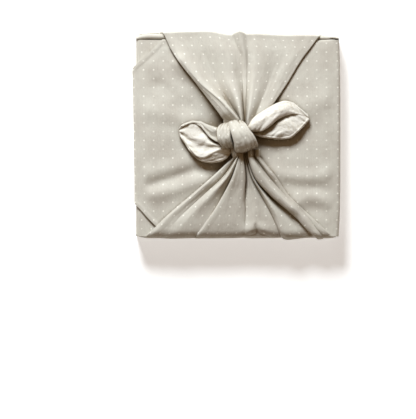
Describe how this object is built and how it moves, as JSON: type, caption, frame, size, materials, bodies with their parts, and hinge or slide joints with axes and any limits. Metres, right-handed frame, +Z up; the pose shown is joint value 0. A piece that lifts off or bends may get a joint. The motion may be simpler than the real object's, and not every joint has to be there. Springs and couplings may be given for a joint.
{
  "type": "furoshiki wrap on a gift box",
  "caption": "Square double-faced cloth folded round a flat square gift box and tied on its front in a knot with free ears.",
  "frame": {"origin": "centre of the underside, on the surface that the wrap lies on", "axes": "+Z up through the front, which carries the knot; +Y towards the top flap; +X to the right, seen from above"},
  "size_m": [0.2455, 0.2478, 0.0717],
  "materials": {
    "cloth": "plain weave cotton, taupe with small cream dots outside, cream inside",
    "card": "matt uncoated card"
  },
  "bodies": {
    "root": {"wrap_cloth": "cloth", "gift_box": "card"}
  },
  "joints": []
}
